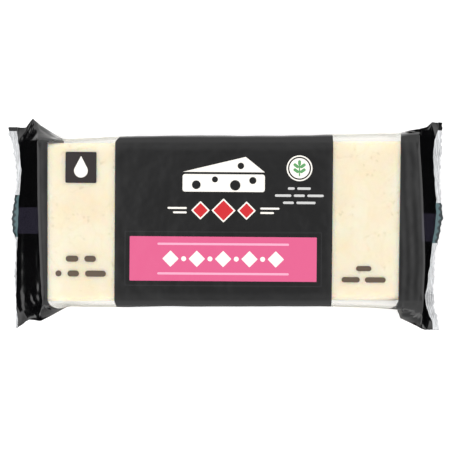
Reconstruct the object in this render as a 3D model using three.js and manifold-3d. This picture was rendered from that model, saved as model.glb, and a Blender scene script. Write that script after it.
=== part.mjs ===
// A retail block of white cheddar in its sealed film wrapper, lying on its back with the label up:
// the cheese, and one film tube that is folded to a dog-ear at each corner and crimped flat at both ends.
// The clear windows of the film are openings here, so the cheese shows on the front and the long sides.
// Millimetres, +Z up, +X to the right of the label, +Y to its top, origin under the middle of the back.
import * as THREE from "three";
import { RoundedBoxGeometry } from "three/addons/geometries/RoundedBoxGeometry.js";
import { mergeVertices } from "three/addons/utils/BufferGeometryUtils.js";
import Module from "manifold-3d";

// The cheese
const BLOCK_LENGTH = 140;
const BLOCK_WIDTH = 58.5;
const BLOCK_DEPTH = 25.3;
const BLOCK_EDGE_RADIUS = 1.2;
const BLOCK_EDGE_SEGMENTS = 2;

// The film
const FILM_THICKNESS = 0.4;
const FILM_CLEARANCE = 0.3;
const SEAL_THICKNESS = 0.5; // two layers, pressed together
const SEAL_WIDTH = 3.2;
const BACK_HOLLOW = 0.1; // the middle of the back is this far off the table, and its four corners rest on it

// The clear windows, along the block. On the long sides the print of the ends reaches further in.
const WINDOWS = [
  { frontFrom: -66.7, frontTo: -42.2, sideFrom: -60, sideTo: -39.3 },
  { frontFrom: 37.3, frontTo: 61.7, sideFrom: 37.3, sideTo: 62.5 },
];
const WINDOW_FRONT_DEPTH = 3; // how far down from the front a front window is cut

// The gathered ends. "Out" is a distance past the end of the block, and "spread" a distance past its side.
// sealRoot and sealCut say how far out the crimped seal starts and is cut off,
// at even steps from the tip of the bottom ear to the tip of the top ear.
// An ear's crease lifts off the side of the block before its end, from the slack that the side has there,
// and runs by way of an apex and a neck, each given as [out, spread], to the seal's tip.
const ENDS = [
  {
    direction: -1,
    sealRoot: [7.2, 8.3, 8.2, 8.3, 8.0, 7.2, 6.4, 7.7, 8.5],
    sealCut: [8.2, 8.7, 8.9, 8.7, 10.1, 9.1, 7.7, 9.1, 10.9],
    bottomEar: { lift: 10, slack: 1.4, edgeSpread: 6.6, apex: [4.2, 5.9], neck: [6.2, 7.4], tipSpread: 9.3 },
    topEar: { lift: 8.4, slack: 0.8, edgeSpread: 5.9, apex: [2.8, 7.8], neck: [5.4, 4.7], tipSpread: 4.9 },
  },
  {
    direction: 1,
    sealRoot: [5.2, 2.0, 3.6, 5.2, 5.4, 5.4, 4.4, 4.4, 6.3],
    sealCut: [7.7, 5.2, 5.0, 6.5, 7.8, 7.5, 6.6, 7.0, 7.3],
    bottomEar: { lift: 18, slack: 1.8, edgeSpread: 8.9, apex: [2.1, 10.1], neck: [3.7, 10.5], tipSpread: 10.7 },
    topEar: { lift: 9, slack: 2.4, edgeSpread: 3.0, apex: [2.8, 3.8], neck: [4.2, 6.8], tipSpread: 6.4 },
  },
];
const SHOULDER_SHARE = 0.45; // of the way down from the block's edge to the seal
const NECK_SHARE = 0.8;
const SEAL_PANEL_SHARE = 0.8; // of the seal's half length is front and back panel, and the rest is gusset

// Finishes
const CHEESE = { color: 0xfdf0d3, roughness: 0.55, metalness: 0 };
const PRINTED_FILM = { color: 0x36363a, roughness: 0.35, metalness: 0 };

// Worked out from the sizes above
const HALF_WIDTH = BLOCK_WIDTH / 2 + FILM_CLEARANCE + FILM_THICKNESS;
const HALF_LENGTH = BLOCK_LENGTH / 2 + FILM_CLEARANCE + FILM_THICKNESS;
const DEPTH = BLOCK_DEPTH + 2 * (FILM_CLEARANCE + FILM_THICKNESS);
const SEAL_HEIGHT = DEPTH / 2;

// A layer of the film runs across from the crease of the bottom ear, at -1, to that of the top ear, at 1.
// The panel takes the middle of it, and a rounded fold lies on both sides of each panel edge.
const PANEL_EDGE = HALF_WIDTH / (HALF_WIDTH + SEAL_HEIGHT);
const FOLD = 0.02;
const PANEL_COLUMNS = 18;
const GUSSET_COLUMNS = 4;

const wasm = await Module();
wasm.setup();
const { lerp } = THREE.MathUtils;

function acrossColumns() {
  const gusset = Array.from({ length: GUSSET_COLUMNS + 1 }, (_, i) =>
    lerp(1, PANEL_EDGE + FOLD, i / GUSSET_COLUMNS),
  );
  const panel = Array.from({ length: PANEL_COLUMNS + 1 }, (_, i) =>
    lerp(FOLD - PANEL_EDGE, PANEL_EDGE - FOLD, i / PANEL_COLUMNS),
  );
  return [...gusset.map((across) => -across), ...panel, ...gusset.reverse()];
}

// Smooth curve through values at even steps from one ear's tip to the other's.
function smoothAcross(values, across) {
  const curve = new THREE.SplineCurve(values.map((value, i) => new THREE.Vector2(i, value)));
  return curve.getPoint((across + 1) / 2).y;
}

// How much of the panel's half width, and of the gusset beside it, lies inside a place across.
function shares(across) {
  const onGusset = Math.max(0, (Math.abs(across) - PANEL_EDGE) / (1 - PANEL_EDGE));
  const onPanel = Math.min(1, Math.abs(across) / PANEL_EDGE);
  return { onPanel, onGusset, belly: Math.sin((onGusset * Math.PI) / 2) };
}

// How far out a line of the seal is, at the place along the seal that a place across the film comes to.
function sealOut(line, across) {
  const { onPanel, belly } = shares(across);
  return smoothAcross(line, Math.sign(across) * lerp(belly, onPanel, SEAL_PANEL_SHARE));
}

// How far the back panel is off the table, at a share of the way from the middle of the pack to its end.
function backHollow(along, across) {
  const toCorner = Math.min(1, Math.abs(across) / (PANEL_EDGE - FOLD));
  return BACK_HOLLOW * (1 - (along * toCorner) ** 2) * (1 - shares(across).onGusset);
}

// A station part of the way down the slope that closes an end, with the ear's crease at a given place.
function slope(end, ear, across, share, [creaseOut, spread]) {
  const panelOut = sealOut(end.sealRoot, across) * share;
  const sealPanel = (HALF_WIDTH + ear.tipSpread) * SEAL_PANEL_SHARE;
  const half = { panelHalf: lerp(HALF_WIDTH, sealPanel, share), creaseHalf: HALF_WIDTH + spread };
  return { panelOut, creaseOut, ...half, rise: SEAL_HEIGHT * (1 - share), droop: 0, hollow: 0 };
}

// The film's section at each station of an end, from the block outwards: how far out the panel and the ear's
// crease are, their half widths, half the depth between front and back panel, how far the seal droops and
// how hollow the back is.
const STATIONS = {
  middle(end, ear, across) {
    const [left, right] = ENDS.map(({ bottomEar, topEar }) => (across < 0 ? bottomEar : topEar).slack);
    const half = { panelHalf: HALF_WIDTH, creaseHalf: HALF_WIDTH + lerp(left, right, 0.5) };
    const out = { panelOut: -HALF_LENGTH, creaseOut: -HALF_LENGTH };
    return { ...out, ...half, rise: SEAL_HEIGHT, droop: 0, hollow: backHollow(0, across) };
  },
  lift(end, ear, across) {
    const back = -lerp(end.bottomEar.lift, end.topEar.lift, (across + 1) / 2);
    const half = { panelHalf: HALF_WIDTH, creaseHalf: HALF_WIDTH + ear.slack };
    const hollow = backHollow(1 + back / HALF_LENGTH, across);
    return { panelOut: back, creaseOut: back, ...half, rise: SEAL_HEIGHT, droop: 0, hollow };
  },
  edge(end, ear, across) {
    const half = { panelHalf: HALF_WIDTH, creaseHalf: HALF_WIDTH + ear.edgeSpread };
    return { panelOut: 0, creaseOut: 0, ...half, rise: SEAL_HEIGHT, droop: 0, hollow: backHollow(1, across) };
  },
  shoulder(end, ear, across) {
    return slope(end, ear, across, SHOULDER_SHARE, ear.apex);
  },
  neck(end, ear, across) {
    return slope(end, ear, across, NECK_SHARE, ear.neck);
  },
  root(end, ear, across) {
    const out = sealOut(end.sealRoot, across);
    const tip = HALF_WIDTH + ear.tipSpread;
    const half = { panelHalf: tip * SEAL_PANEL_SHARE, creaseHalf: tip };
    return { panelOut: out, creaseOut: out, ...half, rise: SEAL_THICKNESS / 2, droop: 0, hollow: 0 };
  },
  cut(end, ear, across) {
    const root = STATIONS.root(end, ear, across);
    const out = sealOut(end.sealCut, across);
    const droop = Math.sqrt(Math.max(0, SEAL_WIDTH ** 2 - (out - root.panelOut) ** 2));
    return { ...root, panelOut: out, creaseOut: out, droop };
  },
};

// A point of the film's front layer (face 1) or back layer (face -1). The wall brings it in to the inner face.
function filmPoint(end, station, across, face, wall) {
  const ear = across < 0 ? end.bottomEar : end.topEar;
  const at = STATIONS[station](end, ear, across);
  const { onPanel, onGusset, belly } = shares(across);
  const half = (at.panelHalf - wall) * onPanel + (at.creaseHalf - at.panelHalf) * belly;
  const out = lerp(at.panelOut, at.creaseOut, onGusset) - wall;
  const offTable = face < 0 ? at.hollow : 0;
  return new THREE.Vector3(
    end.direction * (HALF_LENGTH + out),
    Math.sign(across) * half,
    SEAL_HEIGHT - at.droop + face * (at.rise - wall) * (1 - onGusset) + offTable,
  );
}

// A closed body lofted through the stations of both ends, from the left end to the right.
function filmBody(stations, wall) {
  const columns = acrossColumns();
  const [left, right] = ENDS;
  const order = [
    ...stations.toReversed().map((station) => [left, station]),
    [right, "middle"],
    ...stations.map((station) => [right, station]),
  ];
  const rings = order.map(([end, station]) => [
    ...columns.map((across) => filmPoint(end, station, across, 1, wall)),
    ...columns.toReversed().map((across) => filmPoint(end, station, across, -1, wall)),
  ]);
  const size = rings[0].length;
  const triangles = [];
  const quad = (a, b, c, d) => triangles.push(a, b, c, a, c, d);
  for (let ring = 0; ring + 1 < rings.length; ring++)
    for (let i = 0; i < size; i++) {
      const here = ring * size;
      const next = (i + 1) % size;
      quad(here + i, here + size + i, here + size + next, here + next);
    }
  const last = (rings.length - 1) * size;
  for (let i = 0; i + 1 < columns.length; i++) {
    const opposite = size - 1 - i;
    quad(i, i + 1, opposite - 1, opposite);
    quad(last + opposite, last + opposite - 1, last + i + 1, last + i);
  }
  const geometry = new THREE.BufferGeometry().setFromPoints(rings.flat());
  return geometry.setIndex(triangles);
}

function solid(geometry) {
  const bare = geometry.clone();
  bare.deleteAttribute("normal");
  bare.deleteAttribute("uv");
  const merged = mergeVertices(bare, 1e-4);
  const vertProperties = new Float32Array(merged.attributes.position.array);
  const triVerts = new Uint32Array(merged.index.array);
  return new wasm.Manifold(new wasm.Mesh({ numProp: 3, vertProperties, triVerts }));
}

function geometryOf(manifold) {
  const { vertProperties, triVerts } = manifold.getMesh();
  const geometry = new THREE.BufferGeometry();
  geometry.setAttribute("position", new THREE.BufferAttribute(vertProperties, 3));
  geometry.setIndex(new THREE.BufferAttribute(triVerts, 1));
  geometry.computeVertexNormals();
  return geometry;
}

// A box that cuts right across the pack, between two places along it and up from a height.
function slab(from, to, bottom) {
  const across = 4 * HALF_WIDTH;
  const box = new THREE.BoxGeometry(to - from, across, 2 * DEPTH);
  return solid(box.translate((from + to) / 2, 0, bottom + DEPTH));
}

function cheeseBlock() {
  const geometry = new RoundedBoxGeometry(
    BLOCK_LENGTH,
    BLOCK_WIDTH,
    BLOCK_DEPTH,
    BLOCK_EDGE_SEGMENTS,
    BLOCK_EDGE_RADIUS,
  );
  const mesh = new THREE.Mesh(geometry, new THREE.MeshStandardMaterial(CHEESE));
  mesh.name = "cheese_block";
  mesh.position.z = SEAL_HEIGHT;
  return mesh;
}

function filmWrapper() {
  const pocket = solid(filmBody(["lift", "edge"], FILM_THICKNESS));
  let film = solid(filmBody(["lift", "edge", "shoulder", "neck", "root", "cut"], 0)).subtract(pocket);
  const backPanel = FILM_THICKNESS + FILM_CLEARANCE / 2;
  for (const { frontFrom, frontTo, sideFrom, sideTo } of WINDOWS) {
    film = film.subtract(slab(frontFrom, frontTo, DEPTH - WINDOW_FRONT_DEPTH));
    film = film.subtract(slab(sideFrom, sideTo, backPanel));
  }
  const mesh = new THREE.Mesh(geometryOf(film), new THREE.MeshStandardMaterial(PRINTED_FILM));
  mesh.name = "film_wrapper";
  return mesh;
}

const pack = new THREE.Group();
pack.add(cheeseBlock(), filmWrapper());

export default pack;
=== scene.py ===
"""Looks of a retail block of white cheddar in its sealed film wrapper, on its back with the label up.

The film starts as the flat sheet that it is, a grid that runs along the pack and round it. Its points are
then laid round the block and down to a crimped seal at each end. Lengths are millimetres until a mesh is
finished.
"""

import math

import bmesh
import bpy
import numpy as np
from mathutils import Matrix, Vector, noise


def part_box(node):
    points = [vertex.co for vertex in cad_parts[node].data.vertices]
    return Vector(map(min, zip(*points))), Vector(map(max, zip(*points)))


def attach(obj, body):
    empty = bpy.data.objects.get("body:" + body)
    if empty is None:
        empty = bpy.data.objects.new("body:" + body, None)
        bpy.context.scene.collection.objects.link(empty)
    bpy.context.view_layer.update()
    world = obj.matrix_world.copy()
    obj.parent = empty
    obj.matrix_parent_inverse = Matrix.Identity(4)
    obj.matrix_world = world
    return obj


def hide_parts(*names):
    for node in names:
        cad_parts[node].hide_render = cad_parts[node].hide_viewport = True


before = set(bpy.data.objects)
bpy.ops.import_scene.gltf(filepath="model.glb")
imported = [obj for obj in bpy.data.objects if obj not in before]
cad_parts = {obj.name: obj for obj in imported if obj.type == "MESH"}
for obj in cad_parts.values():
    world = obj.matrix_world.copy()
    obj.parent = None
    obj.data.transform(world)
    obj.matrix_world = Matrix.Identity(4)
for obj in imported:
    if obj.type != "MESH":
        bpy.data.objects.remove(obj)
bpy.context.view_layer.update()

MM = 0.001  # metres
SAME_PLACE = 1e-4  # points nearer than this are one point

# The block and the film round it
block_low, block_high = (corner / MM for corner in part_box("cheese_block"))
FILM_GAP = 0.35  # from the cheese to the outside of the film
FILM_THICKNESS = 0.09
HALF_LENGTH = block_high.x + FILM_GAP
HALF_WIDTH = block_high.y + FILM_GAP
HALF_DEPTH = (block_high.z - block_low.z) / 2 + FILM_GAP
SEAL_HEIGHT = (block_high.z + block_low.z) / 2

# The cheese in it
CHEESE_ROUNDING = 2
ROUNDING_SEGMENTS = 4
CHEESE_MESH = 2.5  # size of its mesh's faces
CUT_SNAP = 1e-5
CHEESE_UNEVENNESS = 0.1
CHEESE_WAVE = 9
CHEESE_TRIM = {"bottom": 0.7, "top": 0.35}  # its front is narrower by this much at each side
CHEESE_TURN = math.radians(0.5)  # its front lies turned in the film, as the label does
CHEESE_END_SHARE = 1 / 3  # of each half is fitted to the film's fold at that end

# The gathered ends. "Out" is a distance past the end of the block, and "spread" a distance past its side.
# edge says how far out the front panel folds down, at even steps from the bottom corner to the top one.
# seal_root and seal_cut say how far out the crimped seal starts and is cut off,
# at even steps from the tip of the bottom ear to the tip of the top ear.
# An ear's crease runs from the block's edge by way of an apex and a neck, each given as (out, spread),
# to the seal's tip. bulge is the shape of the film between panel and crease at the block's edge:
# 1 is a straight line, and more stands out like a box.
# eye_mark and print_end are heights on the seal, up and down in the photograph.
LEFT_END = {
    "direction": -1,
    "edge": (-1.75, -1.0, -0.4, -0.05, 0.05),
    "seal_root": (8.4, 9.0, 8.9, 8.7, 8.4, 7.9, 7.3, 7.7, 8.7),
    "seal_cut": (9.6, 9.5, 10.1, 9.4, 11.0, 9.9, 9.2, 10.2, 11.9),
    "bottom_ear": {"spread": 7.4, "apex": (4.2, 7.0), "neck": (6.2, 8.1), "tip": 9.9, "bulge": 1.3},
    "top_ear": {"spread": 6.3, "apex": (2.8, 9.1), "neck": (5.4, 5.6), "tip": 5.5, "bulge": 1.1},
    "eye_mark": (-5.7, 9.9),
    "print_end": 33.6,
}
RIGHT_END = {
    "direction": 1,
    "edge": (0.3, 0.9, 0.4, -0.2, -1.1),
    "seal_root": (4.9, 2.2, 3.3, 4.6, 5.9, 6.2, 5.4, 5.3, 7.0),
    "seal_cut": (7.7, 5.6, 5.8, 6.6, 8.8, 8.5, 8.0, 8.5, 9.0),
    "bottom_ear": {"spread": 9.7, "apex": (2.1, 10.9), "neck": (3.7, 11.0), "tip": 10.7, "bulge": 1.5},
    "top_ear": {"spread": 4.8, "apex": (2.8, 5.6), "neck": (4.6, 7.6), "tip": 7.3, "bulge": 2.4},
    "eye_mark": (-8, 6.9),
    "print_end": 33.9,
}
# The slack film along each side: places along the pack and how far it stands out there.
# The ears lift off at the first and the last place.
SLACK = {
    "bottom_ear": ((-60.3, -45, 0, 40, 52, 62.75, 63.1), (2.1, 1.9, 1.7, 1.7, 2.3, 3.0, 6.2)),
    "top_ear": ((-61.9, -48, -26, 20, 33, 57, 61.3), (1.0, 1.5, 2.15, 2.15, 2.5, 3.0, 3.1)),
}
SIDE_BULGE = 3.5
SLOPE_KNOTS = (0, 0.45, 0.8, 1)  # block's edge, apex, neck and seal, as shares of the way down
# The front panel leans down a little towards the folds to the ends, and rolls over just before them.
END_DROP = 0.4
END_DROP_REACH = 8.5
END_ROLL = 0.25
END_ROLL_REACH = 1

# The crimped seals
SEAL_PANEL_SHARE = 0.8  # of the seal's half length is front and back panel, and the rest is gusset
SEAL_WIDTH = 3.2
SEAL_RISE = 0.12  # half the thickness of the pressed seal
SEAL_UNEVENNESS = 0.45
SEAL_WAVES = 12  # steps of noise along half a seal
SEAL_SLICE = 7  # takes the noise of each line of the seal from another place
CRIMP_PITCH = 0.8
CRIMP_HEIGHT = 0.07
TOOTH_PITCH = 2.4
TOOTH_DEPTH = 0.4

# A layer of film runs across from the crease of the bottom ear, at -1, to that of the top ear, at 1.
# Round the pack, "turn" goes on past the creases to the middle of the back, at -2 and 2.
PANEL_EDGE = HALF_WIDTH / (HALF_WIDTH + HALF_DEPTH)
BACK_FOLD = 2 - PANEL_EDGE
FOLD = 0.02  # from the middle of a rounded fold beside a panel to where it starts
FRONT_COLUMNS = 52  # on each half of the front panel
BACK_COLUMNS = 30
FOLD_COLUMNS = 6
GUSSET_COLUMNS = 14

# Where the print starts and stops along the pack: at the bottom and the top edge of the front, at the
# bottom and the top crease, and at the bottom and the top edge of the back. bend says how late the line
# leaves the panel's edge for the crease, at the bottom and at the top: less than 1 is early.
PRINT_LINES = (
    {"front": (-66.55, -66.55), "crease": (-60.1, -62.3), "back": (-69, -63), "bend": (1.1, 0.28)},
    {"front": (-42.2, -41.85), "crease": (-41.0, -39.3), "back": (-41, -40), "bend": (0.28, 0.28)},
    {"front": (37.05, 37.65), "crease": (37.0, 37.4), "back": (37, 37), "bend": (0.28, 0.28)},
    {"front": (61.4, 62.3), "crease": (59.2, 63.4), "back": (64.5, 66), "bend": (0.5, 1)},
)

# The stretches of the sheet, from left to right, with the number of rings in each
ZONES = (
    ("left_seal", 16),
    ("left_slope", 40),
    ("left_end", 16),
    ("left_window", 16),
    ("label", 40),
    ("right_window", 16),
    ("right_end", 30),
    ("right_slope", 40),
    ("right_seal", 16),
)
FLAT_ZONES = range(2, 7)
PIECES = ("printed_film", "left_window_film", "right_window_film", "left_end_seal", "right_end_seal")
PIECE_OF_ZONE = {"left_window": 1, "right_window": 2, "left_seal": 3, "right_seal": 4}
RIM_WEIGHT = 100  # how much more large faces count than the thin rim in the shading at an edge

# Wrinkles. Their places are millimetres past the end and the side of the block, along the film.
# A slice takes the noise of one stretch of film from another place than that of the next.
GUSSET_WIDTH = HALF_DEPTH
SLOPE_LENGTH = 15
SIDE_START = 4  # this far past a panel's edge the film is as wrinkled as the side
FOLD_CALM = 1.5  # nearer than this to the fold down to an end, the wrinkles fade
PLEATS = ((9, 0.22), (16, 0.12))  # waves in a full turn round the focus of a fan, and height
PLEAT_SHIFT = {"ear": 1.9, "end": 0.8, "face": 0.5}
PLEAT_START = 5
PLEAT_REACH = 17
FANS = {
    (-1, -1): {"focus": (0, 0), "share": 0.3},
    (-1, 1): {"focus": (4, 13), "share": 0.45},
    (1, -1): {"focus": (0, 0), "share": 0.7},
    (1, 1): {"focus": (0, 0), "share": 0.4},
}
SLOPE_PLEATS = {"share": 0.4, "reach": 4, "start": (-2, 3)}
DENTS = (
    {"end": -1, "ear": -1, "past_end": 3, "past_side": 1.5, "reach": 3, "depth": 0.6},
    {"end": 1, "ear": -1, "past_end": 6, "past_side": 5, "reach": 4, "depth": 0.45},
    {"end": -1, "ear": 1, "past_end": 5, "past_side": 4, "reach": 3, "depth": 0.4},
    {"end": 1, "ear": 1, "past_end": 4, "past_side": 3, "reach": 3, "depth": 0.4},
)
CRINKLES = (
    {"end": -1, "ear": -1, "past_end": 6, "past_side": -2, "reach": 6, "height": 0.3, "size": 2},
)
RIDGES = (
    {"end": -1, "from": -44, "to": 1, "past_end": 12.3, "width": 1.3, "height": 0.21},
    {"end": -1, "from": -33, "to": -8, "past_end": 3, "width": 1.1, "height": 0.13},
)
RIDGE_FADE = 9
RIDGE_UNEVENNESS = 0.6
RIDGE_WAVE = 3
SIDE_WAVES = {"height": 0.25, "length": 9, "width": 12, "slice": 7}
PANEL_WAVES = {"height": 0.06, "length": 14}
END_RIPPLES = {"height": 0.02, "pitch": 3.2, "drift": 1.5, "start": (-11, -6)}
EDGE_PULL = {"depth": 0.35, "from": -4, "deepest": 0.3, "to": 2}  # tight film beside a panel's edge
EAR_WAVES = {"height": 0.3, "length": 4, "slice": 60}
SLOPE_WAVES = (
    {"height": 0.25, "length": 7, "width": 6, "slice": 3},
    {"height": 0.12, "length": 2.5, "width": 5, "slice": 5},
)
BACK_PRESS = 0.12  # the middle of the back panel lies this much nearer to the cheese
BACK_PRESS_FADE = 6
BACK_WAVES = {"height": 0.02, "length": 8}
SOFTENING = {"steps": 2, "factor": 0.5}  # of the gathered ends

# The flat seam along the back
SEAM_PLACE = (-3, 9)
SEAM_COLUMNS = 60
SEAM_LIFT = 0.03
SEAM_THICKNESS = 0.12
SEAM_RIB_PITCH = 1.2
SEAM_RIB_HEIGHT = 0.03

# Inks
CHARCOAL = "#060607"
FRAME_GREY = "#1d1d1f"
NAVY = "#201e28"
PINK = "#d85c88"
PALE_PINK = "#eaa8c2"
CREAM = "#f6f2ea"
RED = "#c8242b"
GREEN = "#5d9a62"
PALE_GREY = "#c9c9c8"
BROWN = "#5d4f42"
DARK_BROWN = "#2c2626"
TEAL = "#496468"
DARK_TEAL = "#1d2a2e"

# Print. Places are from the middle of the pack, and "up" and "across" from the middle of a design.
LABEL_TILT = math.radians(0.45)
FIELD_CORNER = 0.3
DIAMOND_CORNER = 0.25
SHARP_CORNER = 0.1
PINK_PANEL = {"centre": (-2.4, -13.7), "size": (68.2, 16.2)}
PANEL_FRAME = ((FRAME_GREY, 1.9), (CHARCOAL, 1.5), (PINK, 0))  # ink, and how far it goes past the panel
PANEL_RULE = {"size": (48, 0.8), "up": 5.4}
PANEL_ROW = {"pitch": 9.6, "each_side": 2, "diamond": 3, "dot": 0.9}
WEDGE = {"low": 10.8, "front": 6.4, "gap": 0.8, "top": 5.6, "half_width": 15, "peak": 8, "corner": 0.9}
# Across, up from its low edge, and radius
WEDGE_HOLES = ((-10, 2.5, 1.6), (-3.2, 4.5, 1.1), (4.2, 2.4, 1.9), (10.6, 4.2, 1.3), (6.2, 9.5, 1.2))
RED_ROW_HEIGHT = 4
RED_DIAMONDS = ((-8.4, 2.7), (0, 3.7), (8.4, 2.7))  # across, and reach
RED_OUTLINE = 0.7
RED_LINES = {"from": 13.4, "height": 0.7, "lines": ((0.8, 7), (-0.8, 5))}  # up, and length
BADGE = {"centre": (25.2, 19.6), "rings": ((CREAM, 4.7), (CHARCOAL, 4.2), (CREAM, 3.7))}
STEM = {"up": -0.5, "size": (0.5, 4.8)}
TOP_LEAF = {"up": 2, "size": (1.1, 1.9)}
SIDE_LEAVES = {"across": 1.2, "ups": (-0.9, 0.9), "size": (2.3, 1.1), "turn": 35}
# Rows of dashes: up, and the lengths of the dashes
LABEL_ROWS = {
    "centre": (25.2, 0),
    "height": 0.9,
    "rows": ((12.2, (2.5, 5)), (9.6, (6, 4, 6)), (7, (4, 7))),
}
# a lighter navy patch near the middle of each black end slope: centre, and size
NAVY_PATCHES = (((-74.5, -0.2), (9, 9.7)), ((73.5, -1.6), (7, 10.4)))  # centre, and size
BACK_PANEL = {"centre": (-16, -16.2), "size": (56, 20), "corner": 0.8}
BACK_ROWS = {
    "centre": BACK_PANEL["centre"],
    "height": 1.1,
    "rows": (
        (6.8, (24,)),
        (3.8, (12, 7, 18)),
        (1.1, (8, 20, 9)),
        (-1.6, (15, 6, 16)),
        (-4.3, (9, 11, 17)),
        (-7, (18, 10)),
    ),
}
BACK_PINK = {"centre": (30, -16.2), "size": (26, 20), "pitch": 7.6, "diamond": 2.6}
DROP_SQUARE = {"centre": (-54.5, 19.3), "size": (11.3, 11.3), "corner": 0.5}
DROP = {"up": -1.2, "radius": 2.5}
DROP_POINT = {"up": 1.6, "size": (4.8, 5.2), "tip": 4.2, "slant": (4.6, 2.4)}
LEFT_ROWS = {"centre": (-54.3, 0), "height": 2.2, "rows": ((-14.0, (4.6, 4.2)), (-19.4, (2.2, 4.2, 7.6)))}
RIGHT_ROWS = {"centre": (48.9, 0), "height": 1.9, "rows": ((-16.8, (5.6,)), (-20.9, (6.6, 7.6)))}

# Cheddar
CHEESE_DARK = "#f7e7cb"
CHEESE_LIGHT = "#faeed9"
CURD_SEAM = "#f2e1bd"
SPECK = "#cfc09a"
CURD_SIZE = 8
CURD_BEND = 9  # size of the waves that bend the seams between curds
CURD_SHIFT = 6  # how far they bend them
CLOUD_SIZE = 14
SPECK_SIZE = 1.6
GRAIN_SIZE = 1.2

# Film
PRINT_RIPPLE = 9
SMEAR_SIZE = 20
CLEAR_RIPPLE = 3
CLEAR_HAZE = "#f4f4f2"
CLEAR_TINT = "#f8f8f6"  # where it is seen edge on
CLEAR_MIRROR = 0.07  # share of light that clear film sends back, seen from the front
GLANCE_MIRROR = 0.2  # and more at a glancing angle
GLANCE_POWER = 5
CLEAR_SHINE = 0.8
# the seal film's cloudy grey, and the paler grey of a painted highlight in stripes along the crimp ribs
CLOUDY = "#c3c5c8"
CLOUDY_RIB_HIGHLIGHT = "#e2e3e4"
SEAL_STREAK = (0.9, 6)  # width and length
MARK_RIM = 0.4  # share of the seal's width where the eye mark's dark rim starts, by a tooth's root
MARK_SCALLOP = 0.25  # how much further out it starts for each millimetre from there

# Light
ZENITH_LIGHT = 0.32
DARKEST = (0.02, -0.03)  # where the tent is darkest, as a way off the zenith
TENT_START = 0.5  # this far off the zenith the tent is in full light
SIDE_LIGHT = 1.02  # from the long sides
END_LIGHT = 1.72
FLOOR_REACH = 2000
FLOOR_WHITE = "#fafafa"
FLOOR_GLOW = 0.33
BLACK = "#050505"
GREY = "#9c9c9c"
PALE = "#dedede"
# The cards on the floor: colour, low corner and high corner
CARDS = (
    # painted shade: the black card under the pack stands, in the film's gloss, for the shadow on the
    # floor there
    (BLACK, (-66, -34), (66, 34)),
    (BLACK, (-95, -60), (-66, 40)),
    (BLACK, (66, -60), (95, 60)),
    (BLACK, (-600, -600), (-95, 600)),
    (BLACK, (95, -600), (600, 600)),
    (GREY, (-66, -110), (66, -34)),
    (PALE, (-95, 40), (-50, 110)),
)
CARD_HEIGHT = 0.01

# Camera and photograph
PHOTO_PIXELS = 452
MM_PER_PIXEL = 0.3646  # at the front panel
CAMERA_HEIGHT = 726
CAMERA_PLACE = (-1.46, -1.64)
SENSOR = 36


def lerp(a, b, share):
    return a + (b - a) * share


def smoothstep(start, stop, value):
    t = min(1, max(0, (value - start) / (stop - start)))
    return t * t * (3 - 2 * t)


def smooth_line(values, place):
    """Catmull-Rom curve through values at even steps, for a place from -1 to 1."""
    at = (place + 1) / 2 * (len(values) - 1)
    i = min(int(at), len(values) - 2)
    t = at - i
    p0, p1, p2, p3 = (values[min(max(i + k, 0), len(values) - 1)] for k in (-1, 0, 1, 2))
    v1 = (p2 - p0) / 2
    v2 = (p3 - p1) / 2
    return ((2 * (p1 - p2) + v1 + v2) * t + 3 * (p2 - p1) - 2 * v1 - v2) * t * t + v1 * t + p1


def shares(across):
    """How much of the panel's half width, and of the gusset beside it, lies inside a place across."""
    on_panel = min(1, abs(across) / PANEL_EDGE)
    on_gusset = max(0, (abs(across) - PANEL_EDGE) / (1 - PANEL_EDGE))
    return on_panel, on_gusset


def seal_out(line, across):
    """How far out a line of the seal is, where a place across the film comes to it."""
    on_panel, on_gusset = shares(across)
    from_middle = lerp(math.sin(on_gusset * math.pi / 2), on_panel, SEAL_PANEL_SHARE)
    place = math.copysign(from_middle, across)
    wave = noise.noise(Vector((SEAL_WAVES * place, SEAL_SLICE * line[0], 0)))
    return smooth_line(line, place) + SEAL_UNEVENNESS * wave


def edge_out(end, across):
    """How far out the front panel folds down. At the crease the fold is back at the block's own end."""
    on_panel, on_gusset = shares(across)
    return smooth_line(end["edge"], math.copysign(on_panel, across)) * (1 - on_gusset)


def past_fold(x, across):
    """How far a place along the pack is past the fold down to the end. It is negative on the panels."""
    return abs(x) - HALF_LENGTH - edge_out(LEFT_END if x < 0 else RIGHT_END, across)


def end_drop(past_end):
    """How far the front panel has come down, so far past the fold to the end."""
    lean = max(0, 1 + past_end / END_DROP_REACH)
    roll = max(0, 1 + past_end / END_ROLL_REACH)
    return END_DROP * lean + END_ROLL * roll**2


def print_line(line, across, face):
    """Where a line between print and clear film is along the pack."""
    on_panel, on_gusset = shares(across)
    height = (math.copysign(on_panel, across) + 1) / 2
    panel = lerp(*line["front" if face > 0 else "back"], height)
    crease = lerp(*line["crease"], height)
    bend = line["bend"][0 if across < 0 else 1]
    return lerp(panel, crease, on_gusset**bend)


def boundary(index, across, face):
    """Along the pack: the left fold, the four print lines and the right fold."""
    if index == 0:
        return -HALF_LENGTH - edge_out(LEFT_END, across)
    if index == len(PRINT_LINES) + 1:
        return HALF_LENGTH + edge_out(RIGHT_END, across)
    return print_line(PRINT_LINES[index - 1], across, face)


def side_section(x, ear):
    """Section round the block: x of panel and crease, their half widths, half depth, droop and bulge."""
    left, right = LEFT_END[ear], RIGHT_END[ear]
    places, slacks = SLACK[ear]
    knots = (-HALF_LENGTH, *places, HALF_LENGTH)
    spread = np.interp(x, knots, (left["spread"], *slacks, right["spread"]))
    sides = [SIDE_BULGE] * (len(places) - 2)
    bulges = (left["bulge"], left["bulge"], *sides, right["bulge"], right["bulge"])
    return x, x, HALF_WIDTH, HALF_WIDTH + spread, HALF_DEPTH, 0, np.interp(x, knots, bulges)


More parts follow.
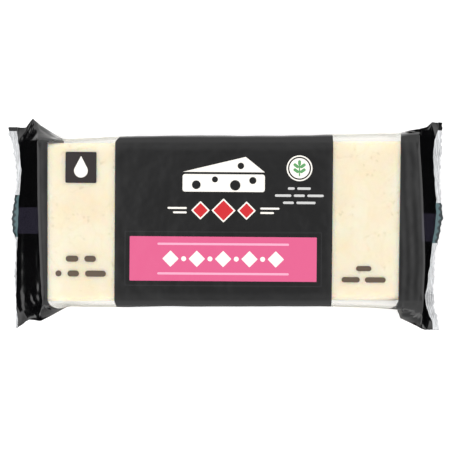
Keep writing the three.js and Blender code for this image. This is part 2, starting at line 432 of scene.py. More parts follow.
def slope_section(end, ear, across, share):
    """Section part of the way down from the block's edge to the seal."""
    ear = end[ear]
    root = seal_out(end["seal_root"], across)
    crease_outs = (0, ear["apex"][0], ear["neck"][0], root)
    spreads = (ear["spread"], ear["apex"][1], ear["neck"][1], ear["tip"])
    panel_x = end["direction"] * (HALF_LENGTH + lerp(edge_out(end, across), root, share))
    crease_x = end["direction"] * (HALF_LENGTH + np.interp(share, SLOPE_KNOTS, crease_outs))
    panel_half = lerp(HALF_WIDTH, (HALF_WIDTH + ear["tip"]) * SEAL_PANEL_SHARE, share)
    crease_half = HALF_WIDTH + np.interp(share, SLOPE_KNOTS, spreads)
    rise = lerp(HALF_DEPTH, SEAL_RISE, share)
    return panel_x, crease_x, panel_half, crease_half, rise, 0, lerp(ear["bulge"], 1, share)


def seal_section(end, ear, across, share):
    """Section across the crimped seal, which stands out or droops and ends in a row of small teeth."""
    tip = HALF_WIDTH + end[ear]["tip"]
    root = seal_out(end["seal_root"], across)
    cut = seal_out(end["seal_cut"], across)
    droop = math.sqrt(max(0, SEAL_WIDTH**2 - (cut - root) ** 2))
    on_panel, on_gusset = shares(across)
    y = tip * lerp(on_gusset, on_panel, SEAL_PANEL_SHARE)
    tooth = TOOTH_DEPTH * abs(2 * (y / TOOTH_PITCH % 1) - 1)
    ridge = CRIMP_HEIGHT * math.sin(2 * math.pi * share * SEAL_WIDTH / CRIMP_PITCH)
    x = end["direction"] * (HALF_LENGTH + lerp(root, cut - tooth, share))
    return x, x, tip * SEAL_PANEL_SHARE, tip, SEAL_RISE, droop * share - ridge, 1


def film_point(zone, share, across, face):
    """A point of the front layer (face 1) or back layer (face -1), with sharp folds beside the panels."""
    ear = "bottom_ear" if across < 0 else "top_ear"
    end = LEFT_END if zone < FLAT_ZONES.start else RIGHT_END
    outward = share if end is RIGHT_END else 1 - share
    if zone in FLAT_ZONES:
        start = boundary(zone - FLAT_ZONES.start, across, face)
        stop = boundary(zone - FLAT_ZONES.start + 1, across, face)
        x = lerp(start, stop, share)
        section = side_section(x, ear)
        drop = end_drop(past_fold(x, across))
    elif ZONES[zone][0].endswith("slope"):
        section = slope_section(end, ear, across, outward)
        drop = end_drop(0) * (1 - outward)
    else:
        section = seal_section(end, ear, across, outward)
        drop = 0
    panel_x, crease_x, panel_half, crease_half, rise, droop, bulge = section
    if face > 0:
        rise -= drop
    on_panel, on_gusset = shares(across)
    stands_out = (1 - (1 - on_gusset) ** bulge) ** (1 / bulge)
    x = lerp(panel_x, crease_x, on_gusset)
    y = panel_half * on_panel + (crease_half - panel_half) * stands_out
    return Vector((x, math.copysign(y, across), SEAL_HEIGHT - droop + face * rise * (1 - on_gusset)))


def layer_place(turn):
    """Face and place across the layer of film there, for a place round the pack."""
    if abs(turn) <= 1:
        return 1, turn
    return -1, math.copysign(2 - abs(turn), turn)


def laid_point(zone, share, turn):
    """A point of the sheet, laid round the pack, with rounded folds beside the panels."""
    face, across = layer_place(turn)
    from_fold = (abs(across) - PANEL_EDGE) / FOLD
    if abs(from_fold) >= 1:
        return film_point(zone, share, across, face)
    beside = [math.copysign(PANEL_EDGE + offset, across) for offset in (-FOLD, 0, FOLD)]
    start, corner, stop = (film_point(zone, share, place, face) for place in beside)
    k = (from_fold + 1) / 2
    return start * (1 - k) ** 2 + corner * 2 * k * (1 - k) + stop * k**2


def sheet_place(zone, share, turn, co):
    """Face, ear and end of a point of the sheet, and how far past the block's end and side it is."""
    face, across = layer_place(turn)
    past_side = (abs(across) - PANEL_EDGE) / (1 - PANEL_EDGE) * GUSSET_WIDTH
    if zone in FLAT_ZONES:
        past_end = past_fold(co.x, across)
    else:
        past_end = (share if co.x > 0 else 1 - share) * SLOPE_LENGTH
    return face, math.copysign(1, across), math.copysign(1, co.x), past_end, past_side


def pleats(face, ear, end, past_end, past_side):
    """Pleats that fan out from a focus over an ear and the slope beside it."""
    fan = FANS[end, ear]
    from_end, from_side = past_end - fan["focus"][0], past_side - fan["focus"][1]
    angle = math.atan2(from_side, from_end)
    reach = math.hypot(from_side, from_end)
    phase = PLEAT_SHIFT["ear"] * ear + PLEAT_SHIFT["end"] * end + PLEAT_SHIFT["face"] * face
    height = sum(h * math.sin(waves * angle + phase * waves) for waves, h in PLEATS)
    fade = fan["share"] * smoothstep(0, PLEAT_START, reach) * math.exp(-((reach / PLEAT_REACH) ** 2))
    if past_side < 0:
        share = lerp(SLOPE_PLEATS["share"], 1, math.exp(past_side))
        fade *= share * math.exp(past_side / SLOPE_PLEATS["reach"])
        fade *= smoothstep(*SLOPE_PLEATS["start"], past_end)
    return height * fade


def patch_share(patch, ear, end, past_end, past_side):
    """How much of a dent or of a patch of crinkles there is at a place: 1 at its middle."""
    if (patch["end"], patch["ear"]) != (end, ear):
        return 0
    off = math.hypot(past_end - patch["past_end"], past_side - patch["past_side"])
    return math.exp(-((off / patch["reach"]) ** 2))


def ridge_height(ridge, y, past_end):
    """A long soft ridge along a seal, which fades out at both ends."""
    off = (past_end - ridge["past_end"]) / ridge["width"]
    along = smoothstep(ridge["from"], ridge["from"] + RIDGE_FADE, y)
    along *= smoothstep(ridge["to"], ridge["to"] - RIDGE_FADE, y)
    wave = noise.noise(Vector((0, y / RIDGE_WAVE, ridge["past_end"])))
    return ridge["height"] * (1 + RIDGE_UNEVENNESS * wave) * along * math.exp(-(off**2))


def panel_relief(ear, co, past_end, past_side):
    """Wrinkles of the film along the block."""
    on_side = smoothstep(0, SIDE_START, past_side)
    waves = SIDE_WAVES
    place = Vector((co.x / waves["length"], past_side / waves["width"], waves["slice"] * ear))
    height = on_side * waves["height"] * noise.noise(place)
    drift = noise.noise(co / PANEL_WAVES["length"])
    height += (1 - on_side) * PANEL_WAVES["height"] * drift
    ripple = math.sin(2 * math.pi * past_end / END_RIPPLES["pitch"] + END_RIPPLES["drift"] * drift)
    by_end = smoothstep(*END_RIPPLES["start"], past_end)
    height += by_end * (1 - on_side) * END_RIPPLES["height"] * ripple
    pull = smoothstep(EDGE_PULL["from"], EDGE_PULL["deepest"], past_side)
    pull *= smoothstep(EDGE_PULL["to"], EDGE_PULL["deepest"], past_side)
    return height - EDGE_PULL["depth"] * pull


def slope_relief(face, end, co, past_end, past_side):
    """Wrinkles of the film where it comes down to a seal."""
    on_side = smoothstep(0, SIDE_START, past_side)
    place = co / EAR_WAVES["length"] + Vector((0, 0, EAR_WAVES["slice"] * face))
    height = on_side * EAR_WAVES["height"] * noise.noise(place)
    for waves in SLOPE_WAVES:
        place = Vector((past_end / waves["length"], co.y / waves["width"], waves["slice"] * end + face))
        height += waves["height"] * noise.noise(place)
    for ridge in RIDGES:
        if ridge["end"] == end and face > 0:
            height += ridge_height(ridge, co.y, past_end)
    return height


def back_relief(co, past_side):
    """The back panel, pressed to the cheese."""
    press = BACK_PRESS * smoothstep(0, BACK_PRESS_FADE, -past_side)
    return -press - BACK_WAVES["height"] * (1 + noise.noise(co / BACK_WAVES["length"]))


def relief(zone, share, turn, co):
    """How far the film stands off the shape that it is stretched to."""
    face, ear, end, past_end, past_side = sheet_place(zone, share, turn, co)
    if ZONES[zone][0].endswith("seal"):
        return 0
    if zone in FLAT_ZONES and face < 0 and past_side < 0:
        return back_relief(co, past_side)
    height = pleats(face, ear, end, past_end, past_side)
    for dent in DENTS:
        height -= dent["depth"] * patch_share(dent, ear, end, past_end, past_side)
    for patch in CRINKLES:
        crinkled = patch_share(patch, ear, end, past_end, past_side)
        height += patch["height"] * crinkled * noise.noise(co / patch["size"])
    off_fold = smoothstep(0, FOLD_CALM, abs(past_end))
    if zone in FLAT_ZONES:
        return height + off_fold * panel_relief(ear, co, past_end, past_side)
    return height + off_fold * slope_relief(face, end, co, past_end, past_side)


def spread_out(stops, counts):
    """Evenly spaced values between stops, with a count of steps for each gap."""
    values = [stops[0]]
    for start, stop, count in zip(stops, stops[1:], counts):
        values += [lerp(start, stop, (i + 1) / count) for i in range(count)]
    return values


def sheet_columns():
    """Places round the pack, close together in the folds."""
    stops = (0, PANEL_EDGE - FOLD, PANEL_EDGE + FOLD, 1, BACK_FOLD - FOLD, BACK_FOLD + FOLD, 2)
    counts = (FRONT_COLUMNS, FOLD_COLUMNS, GUSSET_COLUMNS, GUSSET_COLUMNS, FOLD_COLUMNS, BACK_COLUMNS)
    half = spread_out(stops, counts)
    return [-turn for turn in half[:0:-1]] + half


def sheet_rings():
    """(zone, share) for each ring. A ring on a boundary belongs to the zone on its left."""
    rings = [(0, 0.0)]
    for zone, (_, count) in enumerate(ZONES):
        rings += [(zone, (i + 1) / count) for i in range(count)]
    return rings


def grid_step(value, steps):
    """Which of the steps a place on a grid from -1 to 1 is at."""
    return (value + 1) / 2 * (len(steps) - 1)


def mark_pieces(bm, columns, rings):
    """Gives each face of the flat sheet the number of its piece. The back panel is printed all along."""
    piece = bm.faces.layers.int.new("piece")
    for face in bm.faces:
        centre = face.calc_center_median()
        zone = rings[math.ceil(grid_step(centre.x, rings))][0]
        column = int(grid_step(centre.y, columns))
        turn = (columns[column] + columns[column + 1]) / 2
        name = ZONES[zone][0]
        clear_or_seal = name.endswith("seal") or abs(turn) < BACK_FOLD
        face[piece] = PIECE_OF_ZONE.get(name, 0) if clear_or_seal else 0


def lay_sheet(bm, columns, rings):
    """Lays the flat sheet round the pack, and gives (point, zone, share, turn) for each of its points.

    The attribute "fin" says how far across a seal a point is.
    """
    fin = bm.verts.layers.float.new("fin")
    places = []
    for vert in bm.verts:
        zone, share = rings[round(grid_step(vert.co.x, rings))]
        turn = columns[round(grid_step(vert.co.y, columns))]
        if ZONES[zone][0] == "left_seal":
            vert[fin] = 1 - share
        elif ZONES[zone][0] == "right_seal":
            vert[fin] = share
        vert.co = laid_point(zone, share, turn)
        places.append((vert, zone, share, turn))
    bmesh.ops.remove_doubles(bm, verts=bm.verts, dist=SAME_PLACE)
    return [place for place in places if place[0].is_valid]


def lift_off(bm, verts, heights):
    """Moves points outward, each by its own height."""
    bm.normal_update()
    for vert, height in zip(verts, heights):
        vert.co += vert.normal * height


def wrinkle(bm, places):
    """Lifts each point of the laid sheet by its relief, then softens the gathered ends."""
    heights = [relief(zone, share, turn, vert.co) for vert, zone, share, turn in places]
    lift_off(bm, [place[0] for place in places], heights)
    soft = [place[0] for place in places if ZONES[place[1]][0].endswith("slope")]
    axes = {"use_axis_x": True, "use_axis_y": True, "use_axis_z": True}
    for _ in range(SOFTENING["steps"]):
        bmesh.ops.smooth_vert(bm, verts=soft, factor=SOFTENING["factor"], **axes)


def wrapped_film():
    """The whole sheet of film laid round the block, with each face marked with its piece."""
    columns, rings = sheet_columns(), sheet_rings()
    bm = bmesh.new()
    bmesh.ops.create_grid(bm, x_segments=len(rings) - 1, y_segments=len(columns) - 1, size=1)
    mark_pieces(bm, columns, rings)
    wrinkle(bm, lay_sheet(bm, columns, rings))
    return bm


def back_seam(material):
    """The flat lengthwise seam, a narrow ribbed strip that lies on the back panel from seal to seal."""
    rings = [ring for ring in sheet_rings() if not ZONES[ring[0]][0].endswith("seal")]
    bm = bmesh.new()
    bmesh.ops.create_grid(bm, x_segments=len(rings) - 1, y_segments=SEAM_COLUMNS, size=1)
    heights = []
    for vert in bm.verts:
        zone, share = rings[round(grid_step(vert.co.x, rings))]
        y = lerp(*SEAM_PLACE, (1 - vert.co.y) / 2)
        across = y / HALF_WIDTH * PANEL_EDGE
        turn = math.copysign(2 - abs(across), across)
        rib = SEAM_RIB_HEIGHT * math.sin(2 * math.pi * y / SEAM_RIB_PITCH)
        vert.co = laid_point(zone, share, turn)
        heights.append(relief(zone, share, turn, vert.co) + SEAM_LIFT + rib)
    lift_off(bm, bm.verts, heights)
    piece = finished_piece(bm, "back_seam", material)
    thicken(piece, SEAM_THICKNESS, 1)


def new_object(bm, name, material):
    """Brings a shape from millimetres to metres and makes it an object."""
    bmesh.ops.scale(bm, vec=(MM, MM, MM), verts=bm.verts)
    mesh = bpy.data.meshes.new(name)
    bm.to_mesh(mesh)
    bm.free()
    mesh.materials.append(material)
    thing = bpy.data.objects.new(name, mesh)
    bpy.context.scene.collection.objects.link(thing)
    return thing


def finished_piece(bm, name, material):
    """Makes a shape a smooth piece that rides on the pack."""
    for face in bm.faces:
        face.smooth = True
    piece = new_object(bm, name, material)
    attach(piece, "root")
    return piece


def thicken(piece, thickness, side):
    """Gives a sheet its thickness, on its outside (1) or its inside (-1)."""
    wall = piece.modifiers.new("thickness", "SOLIDIFY")
    wall.thickness = thickness * MM
    wall.offset = side


def film_piece(film, index, material):
    """One piece of the film, with its thickness inward."""
    bm = film.copy()
    layer = bm.faces.layers.int["piece"]
    others = [face for face in bm.faces if face[layer] != index]
    bmesh.ops.delete(bm, geom=others, context="FACES")
    piece = finished_piece(bm, PIECES[index], material)
    thicken(piece, FILM_THICKNESS, -1)
    shading = piece.modifiers.new("normals by area", "WEIGHTED_NORMAL")
    shading.weight = RIM_WEIGHT
    return piece


def plain_block():
    """The block with rounded edges, cut into small faces."""
    bm = bmesh.new()
    bmesh.ops.create_cube(bm, size=1)
    bmesh.ops.scale(bm, vec=block_high - block_low, verts=bm.verts)
    bmesh.ops.translate(bm, vec=(block_low + block_high) / 2, verts=bm.verts)
    bmesh.ops.bevel(
        bm,
        geom=bm.edges,
        offset=CHEESE_ROUNDING,
        segments=ROUNDING_SEGMENTS,
        profile=0.5,
        affect="EDGES",
        material=-1,
    )
    for axis in range(3):
        normal = Vector((0, 0, 0))
        normal[axis] = 1
        low, high = block_low[axis] + CHEESE_ROUNDING, block_high[axis] - CHEESE_ROUNDING
        cuts = round((high - low) / CHEESE_MESH)
        for i in range(cuts + 1):
            place = normal * lerp(low, high, i / cuts)
            geom = bm.verts[:] + bm.edges[:] + bm.faces[:]
            bmesh.ops.bisect_plane(bm, geom=geom, plane_co=place, plane_no=normal, dist=CUT_SNAP)
    return bm


def settle(vert):
    """Fits a point of the plain block to the film round it, and makes its faces slightly uneven."""
    end = LEFT_END if vert.co.x < 0 else RIGHT_END
    if vert.co.z > SEAL_HEIGHT:
        vert.co.z -= end_drop(abs(vert.co.x) - block_high.x)
    height = max(0, (vert.co.z - SEAL_HEIGHT) / (block_high.z - SEAL_HEIGHT))
    trim = CHEESE_TRIM["bottom" if vert.co.y < 0 else "top"]
    vert.co.y *= 1 - height * trim / block_high.y
    vert.co.y += height * vert.co.x * math.tan(CHEESE_TURN)
    near_end = max(0, 1 - (1 - abs(vert.co.x) / block_high.x) / CHEESE_END_SHARE)
    vert.co.x += end["direction"] * near_end * smooth_line(end["edge"], vert.co.y / block_high.y)
    vert.co += vert.normal * CHEESE_UNEVENNESS * noise.noise(vert.co / CHEESE_WAVE)


def cheese(material):
    """The block as the wire cut it: softly rounded edges and slightly uneven faces."""
    bm = plain_block()
    bm.normal_update()
    for vert in bm.verts:
        settle(vert)
    piece = finished_piece(bm, "cheese", material)
    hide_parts("cheese_block")


def linear(code):
    """sRGB hex code to linear RGBA."""
    parts = [int(code[i : i + 2], 16) / 255 for i in (1, 3, 5)]
    return [p / 12.92 if p <= 0.04045 else ((p + 0.055) / 1.055) ** 2.4 for p in parts] + [1]


def add(tree, kind, inputs=None, **settings):
    """Adds a shader node, with its settings, and with values or links for its inputs.

    A node in the place of a value stands for its first output in use.
    """
    node = tree.nodes.new("ShaderNode" + kind)
    for name, value in settings.items():
        setattr(node, name, value)
    for socket, value in (inputs or {}).items():
        if isinstance(value, bpy.types.Node):
            value = next(output for output in value.outputs if output.enabled)
        if isinstance(value, bpy.types.NodeSocket):
            tree.links.new(value, node.inputs[socket])
        else:
            node.inputs[socket].default_value = value
    return node


def new_material(name):
    """An empty material, with the place on the piece in millimetres for its patterns."""
    material = bpy.data.materials.new(name)
    material.use_nodes = True
    tree = material.node_tree
    tree.nodes.clear()
    place = add(tree, "TexCoord").outputs["Object"]
    in_mm = add(tree, "VectorMath", {0: place, "Scale": 1 / MM}, operation="SCALE")
    return material, tree, in_mm


def field(ink, centre, size, corner=FIELD_CORNER, turn=0, cuts=()):
    """A printed field of one ink, turned by some degrees.

    Each cut is a point and a way, and keeps what lies behind the point on that way.
    """
    return {"ink": ink, "centre": centre, "size": size, "corner": corner, "turn": turn, "cuts": cuts}


def pill(ink, centre, size, turn=0):
    """A field with round ends."""
    return field(ink, centre, size, min(size) / 2, turn)


def disc(ink, centre, radius):
    return pill(ink, centre, (2 * radius, 2 * radius))


def diamond(ink, centre, reach):
    return field(ink, centre, (reach * math.sqrt(2), reach * math.sqrt(2)), DIAMOND_CORNER, 45)


def dashes(ink, centre, lengths, height):
    """A row of round-ended dashes, as far apart as they are high."""
    left = centre[0] - (sum(lengths) + height * (len(lengths) - 1)) / 2
    row = []
    for length in lengths:
        row.append(pill(ink, (left + length / 2, centre[1]), (length, height)))
        left += length + height
    return row


def dash_rows(ink, group):
    """A group of rows of dashes, one under the other."""
    x, y = group["centre"]
    fields = []
    for up, lengths in group["rows"]:
        fields += dashes(ink, (x, y + up), lengths, group["height"])
    return fields


def pink_panel():
    """A framed panel with a row of diamonds and dots between two rules."""
    x, y = PINK_PANEL["centre"]
    width, height = PINK_PANEL["size"]
    pitch, each_side = PANEL_ROW["pitch"], PANEL_ROW["each_side"]
    fields = [field(ink, (x, y), (width + 2 * out, height + 2 * out)) for ink, out in PANEL_FRAME]
    for side in (-1, 1):
        fields.append(pill(PALE_PINK, (x, y + side * PANEL_RULE["up"]), PANEL_RULE["size"]))
    for i in range(-each_side, each_side + 1):
        fields.append(diamond(CREAM, (x + pitch * i, y), PANEL_ROW["diamond"]))
    for i in range(-each_side, each_side):
        fields.append(disc(CREAM, (x + pitch * (i + 0.5), y), PANEL_ROW["dot"]))
    return fields


def cheese_wedge(x):
    """A cut cheese seen from its side: front face, top and round holes."""
    low = WEDGE["low"]
    middle = low + WEDGE["front"]
    rear = middle + WEDGE["gap"]
    high = rear + WEDGE["top"]
    width = 2 * WEDGE["half_width"]
    left, right, peak = x - WEDGE["half_width"], x + WEDGE["half_width"], x + WEDGE["peak"]
    cuts = (
        ((left, rear), (rear - high, peak - left)),
        ((right, rear), (high - rear, right - peak)),
    )
    front = field(CREAM, (x, (low + middle) / 2), (width, WEDGE["front"]), WEDGE["corner"])
    top = field(CREAM, (x, (rear + high) / 2), (width, WEDGE["top"]), SHARP_CORNER, cuts=cuts)
    holes = [disc(CHARCOAL, (x + across, low + up), radius) for across, up, radius in WEDGE_HOLES]
    return [front, top, *holes]


def red_diamonds(x, y):
    """A large diamond between two small ones, with pairs of lines at the ends."""
    fields = []
    for across, reach in RED_DIAMONDS:
        fields.append(diamond(CREAM, (x + across, y), reach + RED_OUTLINE))
        fields.append(diamond(RED, (x + across, y), reach))
    for side in (-1, 1):
        for up, length in RED_LINES["lines"]:
            middle = x + side * (RED_LINES["from"] + length / 2)
            fields.append(pill(CREAM, (middle, y + up), (length, RED_LINES["height"])))
    return fields


def sprig_badge():
    """A ringed badge with a sprig of five leaves."""
    x, y = BADGE["centre"]
    fields = [disc(ink, (x, y), radius) for ink, radius in BADGE["rings"]]
    for part in (STEM, TOP_LEAF):
        fields.append(pill(GREEN, (x, y + part["up"]), part["size"]))
    for side in (-1, 1):
        for up in SIDE_LEAVES["ups"]:
            place = (x + side * SIDE_LEAVES["across"], y + up)
            fields.append(pill(GREEN, place, SIDE_LEAVES["size"], side * SIDE_LEAVES["turn"]))
    return fields


def label_print():
    """The label, from the bottom layer up, and a lighter navy patch near the middle of each black end
    slope.
    """
    x = PINK_PANEL["centre"][0]
    fields = pink_panel() + cheese_wedge(x) + red_diamonds(x, RED_ROW_HEIGHT)
    fields += sprig_badge() + dash_rows(PALE_GREY, LABEL_ROWS)
    return fields + [field(NAVY, centre, size) for centre, size in NAVY_PATCHES]


def back_print():
    """The back: a pale panel with rows of dashes, and a pink field with diamonds."""
    fields = [field(PALE_GREY, BACK_PANEL["centre"], BACK_PANEL["size"], BACK_PANEL["corner"])]
    fields += dash_rows(CHARCOAL, BACK_ROWS)
    x, y = BACK_PINK["centre"]
    fields.append(field(PINK, (x, y), BACK_PINK["size"]))
    for i in (-1, 0, 1):
        fields.append(diamond(CREAM, (x + BACK_PINK["pitch"] * i, y), BACK_PINK["diamond"]))
    return fields


def drop_in_square():
    """A pale drop in a dark square: a disc with a point over it, cut to a slant on both sides."""
    x, y = DROP_SQUARE["centre"]
    tip = (x, y + DROP_POINT["tip"])
    across, up = DROP_POINT["slant"]
    cuts = ((tip, (across, up)), (tip, (-across, up)))
    return [
        field(DARK_BROWN, (x, y), DROP_SQUARE["size"], DROP_SQUARE["corner"]),
        disc(CREAM, (x, y + DROP["up"]), DROP["radius"]),
        field(CREAM, (x, y + DROP_POINT["up"]), DROP_POINT["size"], SHARP_CORNER, cuts=cuts),
    ]


def mask_of(tree, flat_place, shape):
    """1 inside a printed field, 0 outside. flat_place is in millimetres, with no height."""
    corner = shape["corner"]
    half = [side / 2 - corner for side in shape["size"]]
    moved = add(tree, "VectorMath", {0: flat_place, 1: (*shape["centre"], 0)}, operation="SUBTRACT")
    if shape["turn"]:
        turn = {"Vector": moved, "Angle": -math.radians(shape["turn"])}
        moved = add(tree, "VectorRotate", turn, rotation_type="Z_AXIS")
    folded = add(tree, "VectorMath", {0: moved}, operation="ABSOLUTE")
    past = add(tree, "VectorMath", {0: folded, 1: (*half, 0)}, operation="SUBTRACT")
    outside = add(tree, "VectorMath", {0: past}, operation="MAXIMUM")
    distance = add(tree, "VectorMath", {0: outside}, operation="LENGTH")
    mask = add(tree, "Math", {0: distance, 1: corner}, operation="LESS_THAN")
    for point, way in shape["cuts"]:
        level = point[0] * way[0] + point[1] * way[1]
        along = add(tree, "VectorMath", {0: flat_place, 1: (*way, 0)}, operation="DOT_PRODUCT")
        kept = add(tree, "Math", {0: along, 1: level}, operation="LESS_THAN")
        mask = add(tree, "Math", {0: mask, 1: kept}, operation="MULTIPLY")
    return mask


def printed_colour(tree, place, ground, front, back=()):
    """(colour, mask) of the fields printed one over the other on the front and the back of a ground."""
    turned = add(tree, "VectorRotate", {"Vector": place, "Angle": LABEL_TILT}, rotation_type="Z_AXIS")
    flat = add(tree, "VectorMath", {0: turned, 1: (1, 1, 0)}, operation="MULTIPLY")
    height = add(tree, "SeparateXYZ", {0: place}).outputs["Z"]
    on_front = add(tree, "Math", {0: height, 1: SEAL_HEIGHT}, operation="GREATER_THAN")
    on_back = add(tree, "Math", {0: 1.0, 1: on_front}, operation="SUBTRACT")
    colour, covered = ground, 0.0
    for side, shape in [(on_front, shape) for shape in front] + [(on_back, shape) for shape in back]:
        mask = mask_of(tree, flat, shape)
        inside = add(tree, "Math", {0: mask, 1: side}, operation="MULTIPLY")
        colour = add(tree, "Mix", {0: inside, 6: colour, 7: linear(shape["ink"])}, data_type="RGBA")
        covered = add(tree, "Math", {0: covered, 1: inside}, operation="MAXIMUM")
    return colour, covered


def curd_colour(tree, place, bent):
    """Cream in faint clouds, with slightly darker seams between curds."""
    shift = {0: bent.outputs["Color"], 1: (CURD_SHIFT,) * 3, 2: place}
    shifted = add(tree, "VectorMath", shift, operation="MULTIPLY_ADD")
    curds = {"Vector": shifted, "Scale": 1 / CURD_SIZE}
    seams = add(tree, "TexVoronoi", curds, feature="DISTANCE_TO_EDGE")
    seam = add(tree, "MapRange", {"Value": seams, "From Max": 0.08, "To Min": 0.7})
    clouds = add(tree, "TexNoise", {"Vector": place, "Scale": 1 / CLOUD_SIZE, "Detail": 3})
    cloud = add(tree, "MapRange", {"Value": clouds, "From Min": 0.35, "From Max": 0.65})
    creams = {0: cloud, 6: linear(CHEESE_DARK), 7: linear(CHEESE_LIGHT)}
    body = add(tree, "Mix", creams, data_type="RGBA")
    return add(tree, "Mix", {0: seam, 6: linear(CURD_SEAM), 7: body}, data_type="RGBA")


def cheddar():
    """White cheddar, cut by wire: smooth, waxy and a little translucent, with faint seams and specks."""
    material, tree, place = new_material("white cheddar")
    bent = add(tree, "TexNoise", {"Vector": place, "Scale": 1 / CURD_BEND, "Detail": 2})
    specks = add(tree, "TexNoise", {"Vector": place, "Scale": 1 / SPECK_SIZE, "Detail": 1})
    speck = add(tree, "MapRange", {"Value": specks, "From Min": 0.6, "From Max": 0.7, "To Max": 0.4})
    gathered = add(tree, "MapRange", {"Value": bent, "From Min": 0.45, "From Max": 0.6})
    speckled = add(tree, "Math", {0: speck, 1: gathered}, operation="MULTIPLY")
    colours = {0: speckled, 6: curd_colour(tree, place, bent), 7: linear(SPECK)}
    colour = add(tree, "Mix", colours, data_type="RGBA")
    grain = add(tree, "TexNoise", {"Vector": place, "Scale": 1 / GRAIN_SIZE, "Detail": 4})
    bump = add(tree, "Bump", {"Height": grain, "Strength": 0.25, "Distance": 0.15 * MM})
    finish = {
        "Base Color": colour,
        "Roughness": 0.5,
        "IOR": 1.45,
        "Subsurface Weight": 1,
        "Subsurface Radius": (1, 0.65, 0.35),
        "Subsurface Scale": 3.5 * MM,
        "Normal": bump,
    }
    add(tree, "OutputMaterial", {"Surface": add(tree, "BsdfPrincipled", finish)})
    return material


def charcoal_print():
    """Polyester film printed on its inside: near-black ink behind a glossy, faintly uneven clear skin."""
    material, tree, place = new_material("reverse-printed polyester film")
    colour, _ = printed_colour(tree, place, linear(CHARCOAL), label_print(), back_print())
    ripple = add(tree, "TexNoise", {"Vector": place, "Scale": 1 / PRINT_RIPPLE, "Detail": 2})
    bump = add(tree, "Bump", {"Height": ripple, "Strength": 1, "Distance": 0.3 * MM})
    smears = add(tree, "TexNoise", {"Vector": place, "Scale": 1 / SMEAR_SIZE, "Detail": 5})
    gloss = add(tree, "MapRange", {"Value": smears, "To Min": 0.12, "To Max": 0.2})
    finish = {"Base Color": colour, "Roughness": gloss, "IOR": 1.58, "Normal": bump}
    add(tree, "OutputMaterial", {"Surface": add(tree, "BsdfPrincipled", finish)})
    return material


def clear_film(name, fields):
    """Clear polyethylene film: slightly hazy, it mirrors a little light, and more at a glancing angle."""
    material, tree, place = new_material(name)
    colour, covered = printed_colour(tree, place, linear(CLEAR_HAZE), fields)
    facing = add(tree, "LayerWeight", {"Blend": 0.5}).outputs["Facing"]
    glance = add(tree, "Math", {0: facing, 1: GLANCE_POWER}, operation="POWER")
    mirror = add(tree, "Math", {0: glance, 1: GLANCE_MIRROR, 2: CLEAR_MIRROR}, operation="MULTIPLY_ADD")
    seen = add(tree, "Math", {0: mirror, 1: covered}, operation="MAXIMUM")
    shine = add(tree, "Math", {0: covered, 1: -CLEAR_SHINE, 2: CLEAR_SHINE}, operation="MULTIPLY_ADD")
    ripple = add(tree, "TexNoise", {"Vector": place, "Scale": 1 / CLEAR_RIPPLE, "Detail": 2})
    bump = add(tree, "Bump", {"Height": ripple, "Strength": 0.3, "Distance": 0.06 * MM})
    tint = add(tree, "Mix", {0: facing, 6: (1, 1, 1, 1), 7: linear(CLEAR_TINT)}, data_type="RGBA")
    clear = add(tree, "BsdfTransparent", {"Color": tint})
    finish = {"Base Color": colour, "Metallic": shine, "Roughness": 0.16, "Normal": bump}
    skin = add(tree, "BsdfPrincipled", finish)
    film = add(tree, "MixShader", {0: seen, 1: clear, 2: skin})
    add(tree, "OutputMaterial", {"Surface": film})
    return material


def eye_mark(tree, y, fin, end):
    """(colour, mask) of the teal mark that tells the cutter where to cut, with a dark scalloped rim."""
    low, high = end["eye_mark"]
    above = add(tree, "Math", {0: y, 1: low}, operation="GREATER_THAN")
    below = add(tree, "Math", {0: y, 1: high}, operation="LESS_THAN")
    mark = add(tree, "Math", {0: above, 1: below}, operation="MULTIPLY")
    tooth = add(tree, "Math", {0: y, 1: TOOTH_PITCH / 2}, operation="PINGPONG")
    rim_from = add(tree, "Math", {0: tooth, 1: MARK_SCALLOP, 2: MARK_RIM}, operation="MULTIPLY_ADD")
    rim = add(tree, "Math", {0: fin, 1: rim_from}, operation="GREATER_THAN")
    ink = add(tree, "Mix", {0: rim, 6: linear(TEAL), 7: linear(DARK_TEAL)}, data_type="RGBA")
    return ink, mark


def rib_shaded_colour(tree, fin):
    """Cloudy film with painted light and shade: paler and greyer stripes at the pitch of the jaws' ribs.
    """
    # painted light and shade: paler on one side of each rib, greyer on the other
    rib_width = CRIMP_PITCH / SEAL_WIDTH / 2
    rib = add(tree, "Math", {0: fin, 1: rib_width}, operation="PINGPONG")
    shade = add(tree, "MapRange", {"Value": rib, "From Max": rib_width})
    return add(tree, "Mix", {0: shade, 6: linear(CLOUDY), 7: linear(CLOUDY_RIB_HIGHLIGHT)}, data_type="RGBA")


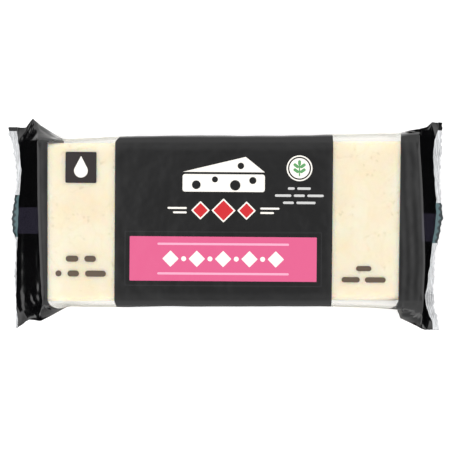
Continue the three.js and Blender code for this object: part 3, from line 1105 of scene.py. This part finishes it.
def crimped_seal(name, end):
    """Two layers of unprinted film, welded between ribbed jaws: cloudy, with clearer streaks along it."""
    material, tree, place = new_material(name)
    y = add(tree, "SeparateXYZ", {0: place}).outputs["Y"]
    fin = add(tree, "Attribute", attribute_name="fin").outputs["Fac"]
    ink, mark = eye_mark(tree, y, fin, end)
    marked = add(tree, "Mix", {0: mark, 6: rib_shaded_colour(tree, fin), 7: ink}, data_type="RGBA")
    tip = add(tree, "Math", {0: y, 1: end["print_end"]}, operation="GREATER_THAN")
    colour = add(tree, "Mix", {0: tip, 6: marked, 7: linear(CHARCOAL)}, data_type="RGBA")
    inked = add(tree, "Math", {0: mark, 1: tip}, operation="MAXIMUM")
    streak = (1 / SEAL_STREAK[0], 1 / SEAL_STREAK[1], 0)
    drawn = add(tree, "VectorMath", {0: place, 1: streak}, operation="MULTIPLY")
    streaks = add(tree, "TexNoise", {"Vector": drawn, "Scale": 1, "Detail": 3})
    haze = add(tree, "MapRange", {"Value": streaks, "From Min": 0.35, "From Max": 0.6, "To Min": 0.3})
    seen = add(tree, "Math", {0: haze, 1: inked}, operation="MAXIMUM")
    clear = add(tree, "BsdfTransparent")
    skin = add(tree, "BsdfPrincipled", {"Base Color": colour, "Roughness": 0.3})
    film = add(tree, "MixShader", {0: seen, 1: clear, 2: skin})
    add(tree, "OutputMaterial", {"Surface": film})
    return material


def stage_sheet(name, low, high, height, colour, glow):
    """A flat sheet of the studio, such as the floor, of matt card."""
    bm = bmesh.new()
    bmesh.ops.create_grid(bm, x_segments=1, y_segments=1, size=0.5)
    bmesh.ops.scale(bm, vec=(high[0] - low[0], high[1] - low[1], 1), verts=bm.verts)
    middle = [(a + b) / 2 for a, b in zip(low, high)]
    bmesh.ops.translate(bm, vec=(*middle, height), verts=bm.verts)
    material, tree, _ = new_material(name)
    finish = {
        "Base Color": linear(colour),
        "Roughness": 0.9,
        "Specular IOR Level": 0,
        "Emission Color": (1, 1, 1, 1),
        "Emission Strength": glow,
    }
    add(tree, "OutputMaterial", {"Surface": add(tree, "BsdfPrincipled", finish)})
    sheet = new_object(bm, name, material)
    return sheet


def floor_and_cards():
    """A lit white floor, and cards under and round the pack that only show in its gloss."""
    corner = (FLOOR_REACH, FLOOR_REACH)
    stage_sheet("lit white floor", (-FLOOR_REACH, -FLOOR_REACH), corner, 0, FLOOR_WHITE, FLOOR_GLOW)
    for colour, low, high in CARDS:
        card = stage_sheet("card", low, high, CARD_HEIGHT, colour, 0)
        for rays in ("camera", "diffuse", "transmission", "shadow"):
            setattr(card, "visible_" + rays, False)


def light_tent():
    """White light from all round: bright past the ends, less past the long sides, least by the camera."""
    world = bpy.data.worlds.new("light tent")
    world.use_nodes = True
    tree = world.node_tree
    tree.nodes.clear()
    direction = add(tree, "TexCoord").outputs["Generated"]
    from_darkest = {0: direction, 1: (1, 1, 0), 2: (-DARKEST[0], -DARKEST[1], 0)}
    level = add(tree, "VectorMath", from_darkest, operation="MULTIPLY_ADD")
    bearing = add(tree, "VectorMath", {0: level}, operation="NORMALIZE")
    parts = add(tree, "SeparateXYZ", {0: bearing})
    to_end = add(tree, "Math", {0: parts.outputs["X"], 1: 2}, operation="POWER")
    round_about = add(tree, "MapRange", {"Value": to_end, "To Min": SIDE_LIGHT, "To Max": END_LIGHT})
    off_zenith = add(tree, "VectorMath", {0: level}, operation="LENGTH")
    to_tent = add(tree, "MapRange", {"Value": off_zenith, "From Max": TENT_START})
    strength = add(tree, "Mix", {0: to_tent, 2: ZENITH_LIGHT, 3: round_about})
    light = add(tree, "Background", {"Color": (1, 1, 1, 1), "Strength": strength})
    add(tree, "OutputWorld", {"Surface": light})
    bpy.context.scene.world = world


def camera_above():
    """A long lens straight above the label, framed as the photograph is."""
    camera = bpy.data.objects.new("camera", bpy.data.cameras.new("camera"))
    camera.location = (CAMERA_PLACE[0] * MM, CAMERA_PLACE[1] * MM, CAMERA_HEIGHT * MM)
    camera.data.sensor_width = SENSOR
    front = SEAL_HEIGHT + HALF_DEPTH
    camera.data.lens = SENSOR * (CAMERA_HEIGHT - front) / (PHOTO_PIXELS * MM_PER_PIXEL)
    bpy.context.scene.collection.objects.link(camera)
    bpy.context.scene.camera = camera
    bpy.context.scene.view_settings.view_transform = "Standard"


camera_above()
light_tent()
floor_and_cards()
cheese(cheddar())
film = wrapped_film()
printed = charcoal_print()
back_seam(printed)
left_print = drop_in_square() + dash_rows(BROWN, LEFT_ROWS)
right_print = dash_rows(BROWN, RIGHT_ROWS)
finishes = (
    printed,
    clear_film("clear polyethylene film, left", left_print),
    clear_film("clear polyethylene film, right", right_print),
    crimped_seal("crimped film, left", LEFT_END),
    crimped_seal("crimped film, right", RIGHT_END),
)
for index, material in enumerate(finishes):
    piece = film_piece(film, index, material)
    if index == 0:
        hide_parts("film_wrapper")
    if piece.name.endswith("seal"):
        piece.visible_glossy = False  # keeps it out of the gloss of the slope beside it
film.free()
